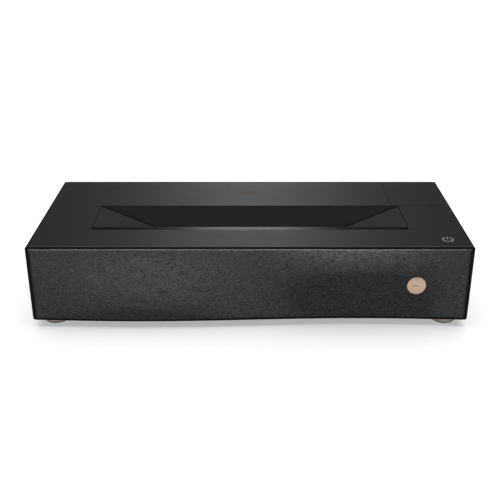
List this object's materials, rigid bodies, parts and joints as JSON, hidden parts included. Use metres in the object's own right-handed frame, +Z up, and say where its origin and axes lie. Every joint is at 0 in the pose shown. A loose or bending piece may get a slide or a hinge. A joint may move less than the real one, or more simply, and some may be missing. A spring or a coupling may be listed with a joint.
{
  "type": "home projector",
  "caption": "Long, low ultra short throw laser projector with a wavy cloth front, a faceted lens recess in its lid, round screw feet and a lift-off bay cover.",
  "frame": {"origin": "on the floor, under the middle of the case", "axes": "+X to the right seen from the front, +Y to the rear, +Z up; the cloth front faces -Y"},
  "size_m": [0.61, 0.2721, 0.122],
  "materials": {
    "cover_black": "satin dark grey paint-like finish",
    "case_black": "fine matte black",
    "recess_black": "dead matte black",
    "gloss_black": "glossy, passes infrared",
    "clear_glass": "clear coated glass",
    "fabric_grey": "woven dark grey cloth",
    "rose_gold": "satin rose gold anodised",
    "silver_print": "satin silver",
    "black_rubber": "matte",
    "brass": "machined",
    "zinc_steel": "zinc plated",
    "mirror_coat": "first-surface mirror",
    "cast_alloy": "die cast",
    "black_alloy": "black anodised",
    "copper": "copper",
    "board_green": "solder mask",
    "part_black": "moulded",
    "cone_paper": "pressed paper",
    "diffuser": "ground glass"
  },
  "bodies": {
    "housing": {"bottom_tray": "case_black", "side_panel_left": "case_black", "side_panel_right": "case_black", "rear_panel": "case_black", "top_cover": "cover_black", "rear_mark": "rose_gold", "touch_mark": "silver_print", "recess_tub": "recess_black", "recess_wing_right": "cover_black", "recess_wing_left": "cover_black", "sensor_strip": "gloss_black", "projection_window": "clear_glass", "window_gasket": "black_rubber", "grille_fabric": "fabric_grey", "grille_frame": "case_black", "grille_badge": "rose_gold", "foot_nuts": "brass", "case_screws": "zinc_steel", "dongle_tray": "case_black", "dongle_plug": "zinc_steel", "power_switch": "part_black", "curved_mirror": "mirror_coat", "mirror_bracket": "cast_alloy", "lens_barrel": "black_alloy", "lens_elements": "clear_glass", "focus_motor": "zinc_steel", "optical_engine": "cast_alloy", "chip_board": "board_green", "chip_heatsink": "black_alloy", "laser_module": "cast_alloy", "wheel_motor": "zinc_steel", "heat_pipes": "copper", "heat_sink": "cast_alloy", "fan_frames": "part_black", "speaker_boxes": "part_black", "speaker_baskets": "zinc_steel", "power_board": "board_green", "power_parts": "part_black", "main_board": "board_green", "main_chips": "part_black", "io_sockets": "zinc_steel", "ac_inlet": "part_black"},
    "foot_pad_front_left": {"foot_pad_front_left": "black_rubber"},
    "foot_dial_front_left": {"foot_dial_front_left": "rose_gold"},
    "foot_pad_rear_left": {"foot_pad_rear_left": "black_rubber"},
    "foot_dial_rear_left": {"foot_dial_rear_left": "rose_gold"},
    "foot_pad_front_right": {"foot_pad_front_right": "black_rubber"},
    "foot_dial_front_right": {"foot_dial_front_right": "rose_gold"},
    "foot_pad_rear_right": {"foot_pad_rear_right": "black_rubber"},
    "foot_dial_rear_right": {"foot_dial_rear_right": "rose_gold"},
    "power_button": {"power_button": "case_black"},
    "dongle_cover": {"dongle_cover": "cover_black"},
    "fan_rotor_right": {"fan_rotor_right": "part_black"},
    "fan_rotor_left_front": {"fan_rotor_left_front": "part_black"},
    "fan_rotor_left_rear": {"fan_rotor_left_rear": "part_black"},
    "diffuser_wheel": {"diffuser_wheel": "diffuser"},
    "focus_ring": {"focus_ring": "part_black"},
    "focus_pinion": {"focus_pinion": "brass"},
    "speaker_cone_left": {"speaker_cone_left": "cone_paper"},
    "speaker_cone_right": {"speaker_cone_right": "cone_paper"}
  },
  "joints": [
    {"name": "foot_height_front_left", "type": "slide", "parent": "housing", "child": "foot_pad_front_left", "axis": [0, 0, 1], "range_m": [-0.008, 0]},
    {"name": "foot_turn_front_left", "type": "hinge", "parent": "foot_pad_front_left", "child": "foot_dial_front_left", "pos_m": [-0.2775, -0.10245, 0.0107], "axis": [0, 0, 1], "range_deg": [-2304, 0]},
    {"name": "foot_height_rear_left", "type": "slide", "parent": "housing", "child": "foot_pad_rear_left", "axis": [0, 0, 1], "range_m": [-0.008, 0]},
    {"name": "foot_turn_rear_left", "type": "hinge", "parent": "foot_pad_rear_left", "child": "foot_dial_rear_left", "pos_m": [-0.2775, 0.10855, 0.0107], "axis": [0, 0, 1], "range_deg": [-2304, 0]},
    {"name": "foot_height_front_right", "type": "slide", "parent": "housing", "child": "foot_pad_front_right", "axis": [0, 0, 1], "range_m": [-0.008, 0]},
    {"name": "foot_turn_front_right", "type": "hinge", "parent": "foot_pad_front_right", "child": "foot_dial_front_right", "pos_m": [0.2775, -0.10245, 0.0107], "axis": [0, 0, 1], "range_deg": [-2304, 0]},
    {"name": "foot_height_rear_right", "type": "slide", "parent": "housing", "child": "foot_pad_rear_right", "axis": [0, 0, 1], "range_m": [-0.008, 0]},
    {"name": "foot_turn_rear_right", "type": "hinge", "parent": "foot_pad_rear_right", "child": "foot_dial_rear_right", "pos_m": [0.2775, 0.10855, 0.0107], "axis": [0, 0, 1], "range_deg": [-2304, 0]},
    {"name": "power_button_press", "type": "slide", "parent": "housing", "child": "power_button", "axis": [-1, 0, 0], "range_m": [0, 0.0012], "stiffness_N_per_m": 600},
    {"name": "dongle_cover_lift", "type": "slide", "parent": "housing", "child": "dongle_cover", "axis": [0, 0, 1], "range_m": [0, 0.06]},
    {"name": "fan_spin_right", "type": "hinge", "parent": "housing", "child": "fan_rotor_right", "pos_m": [0.2745, -0.02345, 0.058], "axis": [1, 0, 0], "continuous": true},
    {"name": "fan_spin_left_front", "type": "hinge", "parent": "housing", "child": "fan_rotor_left_front", "pos_m": [-0.2745, -0.02345, 0.058], "axis": [1, 0, 0], "continuous": true},
    {"name": "fan_spin_left_rear", "type": "hinge", "parent": "housing", "child": "fan_rotor_left_rear", "pos_m": [-0.2745, 0.05705, 0.058], "axis": [1, 0, 0], "continuous": true},
    {"name": "diffuser_wheel_spin", "type": "hinge", "parent": "housing", "child": "diffuser_wheel", "pos_m": [0.065, 0.08505, 0.05], "axis": [1, 0, 0], "continuous": true},
    {"name": "focus_ring_turn", "type": "hinge", "parent": "housing", "child": "focus_ring", "pos_m": [0, 0.00405, 0.05], "axis": [0, 1, 0], "range_deg": [-20, 20]},
    {"name": "focus_pinion_turn", "type": "hinge", "parent": "housing", "child": "focus_pinion", "pos_m": [0.0421, 0.00405, 0.05], "axis": [0, 1, 0], "range_deg": [-121, 121]},
    {"name": "speaker_cone_left_travel", "type": "slide", "parent": "housing", "child": "speaker_cone_left", "axis": [0, -1, 0], "range_m": [-0.002, 0.002], "stiffness_N_per_m": 1500},
    {"name": "speaker_cone_right_travel", "type": "slide", "parent": "housing", "child": "speaker_cone_right", "axis": [0, -1, 0], "range_m": [-0.002, 0.002], "stiffness_N_per_m": 1500}
  ],
  "couplings": [
    {"joint": "foot_height_front_left", "follows": "foot_turn_front_left", "m_per_rad": 0.00019894},
    {"joint": "foot_height_rear_left", "follows": "foot_turn_rear_left", "m_per_rad": 0.00019894},
    {"joint": "foot_height_front_right", "follows": "foot_turn_front_right", "m_per_rad": 0.00019894},
    {"joint": "foot_height_rear_right", "follows": "foot_turn_rear_right", "m_per_rad": 0.00019894},
    {"joint": "focus_pinion_turn", "follows": "focus_ring_turn", "ratio": -6}
  ]
}
